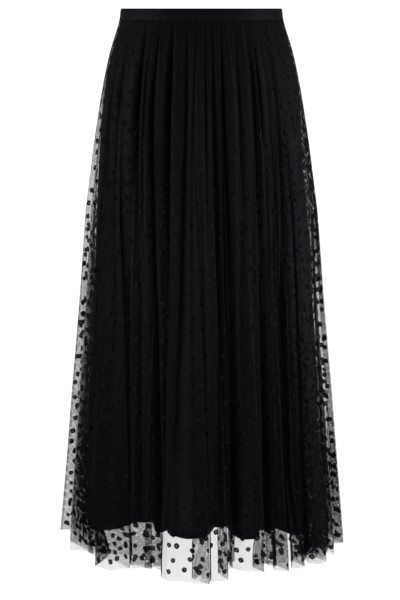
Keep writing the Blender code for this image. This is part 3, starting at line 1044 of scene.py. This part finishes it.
def flock_material():
    """Flocked dots: upright black fibres, dead matt, thinner in the dimple, where they lean apart."""
    material, tree = new_material("velvet_flock_dots")
    from_middle = node(tree, "ShaderNodeVectorMath", {"operation": "LENGTH"}, i0=cut_place(tree, "dot"))
    distance = from_middle.outputs["Value"]
    pile = node(tree, "ShaderNodeMapRange", Value=distance, From_Min=0.12, From_Max=0.5, To_Min=0.45)
    fibre = bumped(tree, noise(tree, room_place(tree), UNSTRETCHED, 2600.0, 2.0), 0.6, 0.0003)
    colour = shaded_colour(tree, ("#030303", "#060606", "#09090a", "#0f0f10"))
    look = {"Roughness": 1.0, "IOR": 1.5, "Specular_IOR_Level": 0.0}
    return surfaced(material, Base_Color=colour, Alpha=pile.outputs[0], Normal=fibre, **look)


# Painted shade darkens the lining's turned hem fold, up to its stitches. Threads and clouds change the
# lining's tone.
HEM_FOLD_SHADE = 0.6
HEM_FOLD_EDGE = 0.002
SATIN_UNEVEN = 0.35
# The crepe's threads change the band's tone.
CREPE_LOWEST = 0.7
CREPE_UNEVEN = 0.6


def lining_material():
    """Polyester satin lining, warp-faced: black, with a faint gloss, a painted sheen on its folds and a fine
    weave.
    """
    material, tree = new_material("polyester_satin_lining")
    flat = cut_place(tree)
    threads = noise(tree, flat, (900.0, 60.0, 1.0), 1.0, 2.0)
    cloudy = noise(tree, flat, UNSTRETCHED, 14.0, 3.0)
    tone = result(tree, "MULTIPLY_ADD", threads, SATIN_UNEVEN, 1.0 - SATIN_UNEVEN)
    tone = result(tree, "MULTIPLY_ADD", cloudy, SATIN_UNEVEN, tone)
    place = node(tree, "ShaderNodeSeparateXYZ", Vector=flat)
    # Painted shade on the turned hem fold, below the stitches.
    stitches = LINING_HEM - SEWN_EDGE
    bounds = {"From_Min": stitches, "From_Max": stitches + HEM_FOLD_EDGE, "To_Min": HEM_FOLD_SHADE}
    hem_shade = node(tree, "ShaderNodeMapRange", Value=place.outputs["Y"], **bounds)
    tone = result(tree, "MULTIPLY", tone, hem_shade.outputs[0])
    colour = toned(tree, shaded_colour(tree, ("#030303", "#060607", "#0a0a0c", "#1a1a1e")), tone)
    look = {"Roughness": 0.42, "IOR": 1.55, "Specular_IOR_Level": 0.005}
    return surfaced(material, Base_Color=colour, Normal=bumped(tree, threads, 0.25, 0.0002), **look)


def band_material():
    """Crepe-back satin waistband: deep blue-black with a soft sheen and a fine crosswise crepe grain."""
    material, tree = new_material("satin_waistband")
    threads = noise(tree, cut_place(tree), (1.0, 2.2, 1.0), 700.0, 3.0)
    tone = result(tree, "MULTIPLY_ADD", threads, CREPE_UNEVEN, CREPE_LOWEST)
    colour = toned(tree, shaded_colour(tree, ("#010101", "#020203", "#050506", "#070709")), tone)
    look = {"Roughness": 0.5, "IOR": 1.55, "Specular_IOR_Level": 0.003}
    return surfaced(material, Base_Color=colour, Normal=bumped(tree, threads, 0.3, 0.0003), **look)


def paper_material():
    """Matt white background paper: a plain pale floor with a barely visible tooth."""
    material, tree = new_material("matt_background_paper")
    tooth = bumped(tree, noise(tree, room_place(tree), UNSTRETCHED, 400.0, 2.0), 0.05, 0.0005)
    look = {"Roughness": 0.9, "IOR": 1.45, "Specular_IOR_Level": 0.2}
    return surfaced(material, Base_Color=linear("#f8f8f8"), Normal=tooth, **look)


# ---- skirt

TULLE = tulle_material()
FLOCK = flock_material()
SATIN = lining_material()
BAND = band_material()

band, band_width, band_length = make_band("waistband")
band.data.materials.append(BAND)
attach(band, "root")
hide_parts("waistband_front", "waistband_back")

for side, front in (("front", True), ("back", False)):
    lining, width, length = make_lining(f"satin_lining_{side}", front)
    lining.data.materials.append(SATIN)
    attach(lining, "root")
    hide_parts(f"lining_{side}")

    net, panel, shade = make_net(f"tulle_{side}", front)
    net.data.materials.append(TULLE)
    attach(net, "root")
    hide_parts(f"net_{side}")
    dots = make_dots(f"flocked_dots_{side}", panel, shade, seed_for(front, DOT_SEED))
    dots.data.materials.append(FLOCK)
    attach(dots, "root")
    width, length = panel.width, panel.length

# ---- studio

FLOOR_HEIGHT = -1.28
FLOOR_SIZE = 14.0
WORLD_COLOUR = (1.0, 1.0, 1.0, 1.0)
WORLD_STRENGTH = 1.1

# Two softboxes, one on each side of the camera.
SOFTBOXES = [("key", (2.3, -0.6, 0.4), 22.0), ("fill", (-2.3, -0.6, 0.4), 20.0)]
SOFTBOX_SIZE = 1.2
SOFTBOX_SPREAD_DEGREES = 44.0
SOFTBOX_AIM = (0.0, 0.0, -0.2)

CAMERA_PLACE = (-0.0023, -2.3505, 0.010)
CAMERA_DOWN = math.atan(0.2058)
CAMERA_LENS = 85.0
CAMERA_SENSOR = 36.0

# So many layers of net can lie one behind the other.
SEE_THROUGH_LAYERS = 40

floor_mesh = bmesh.new()
lowered = Matrix.Translation((0, 0, FLOOR_HEIGHT))
bmesh.ops.create_grid(floor_mesh, x_segments=1, y_segments=1, size=FLOOR_SIZE / 2, matrix=lowered)
floor = finished("floor", floor_mesh)
floor.data.materials.append(paper_material())

scene = bpy.context.scene
world = bpy.data.worlds.new("white_studio")
scene.world = world
world.use_nodes = True
backdrop = world.node_tree.nodes["Background"].inputs
backdrop["Color"].default_value = WORLD_COLOUR
backdrop["Strength"].default_value = WORLD_STRENGTH

for name, place, watts in SOFTBOXES:
    lamp = bpy.data.lights.new(name, "AREA")
    lamp.size = SOFTBOX_SIZE
    lamp.energy = watts
    lamp.spread = math.radians(SOFTBOX_SPREAD_DEGREES)
    softbox = bpy.data.objects.new(name, lamp)
    scene.collection.objects.link(softbox)
    softbox.location = place
    softbox.rotation_euler = (Vector(place) - Vector(SOFTBOX_AIM)).to_track_quat("Z", "Y").to_euler()

eye = bpy.data.cameras.new("camera")
eye.lens = CAMERA_LENS
eye.sensor_width = CAMERA_SENSOR
camera = bpy.data.objects.new("camera", eye)
camera.location = CAMERA_PLACE
camera.rotation_euler = (math.pi / 2 - CAMERA_DOWN, 0.0, 0.0)
scene.collection.objects.link(camera)
scene.camera = camera

scene.view_settings.view_transform = "Standard"
scene.cycles.transparent_max_bounces = SEE_THROUGH_LAYERS
